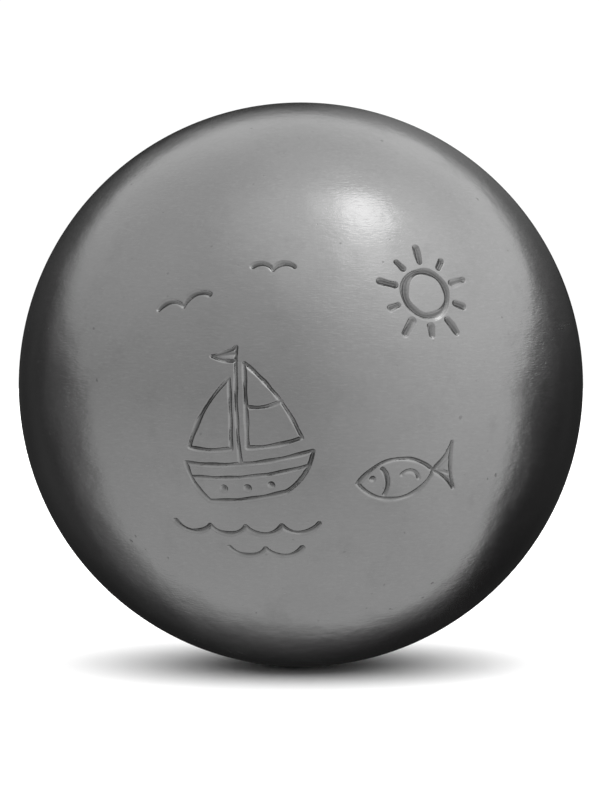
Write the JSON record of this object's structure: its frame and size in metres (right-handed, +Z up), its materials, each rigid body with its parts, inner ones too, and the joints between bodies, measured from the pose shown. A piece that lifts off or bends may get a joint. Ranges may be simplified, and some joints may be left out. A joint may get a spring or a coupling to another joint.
{
  "type": "petanque boule",
  "caption": "Hollow steel ball for petanque, welded from two pressed half shells, with a satin brushed surface and an engraved front.",
  "frame": {"origin": "centre of the ball", "axes": "+Z up as the ball lies in the picture; +Y along the axis that the two half shells share, from the engraved front half shell, which faces -Y, to the plain rear one; the welded joint is the plane y = 0"},
  "size_m": [0.074, 0.074, 0.074],
  "materials": {
    "shell_steel": "satin",
    "weld_steel": "satin"
  },
  "bodies": {
    "root": {"front_half_shell": "shell_steel", "rear_half_shell": "shell_steel", "weld_root_run": "weld_steel", "weld_fill_run": "weld_steel"}
  },
  "joints": []
}
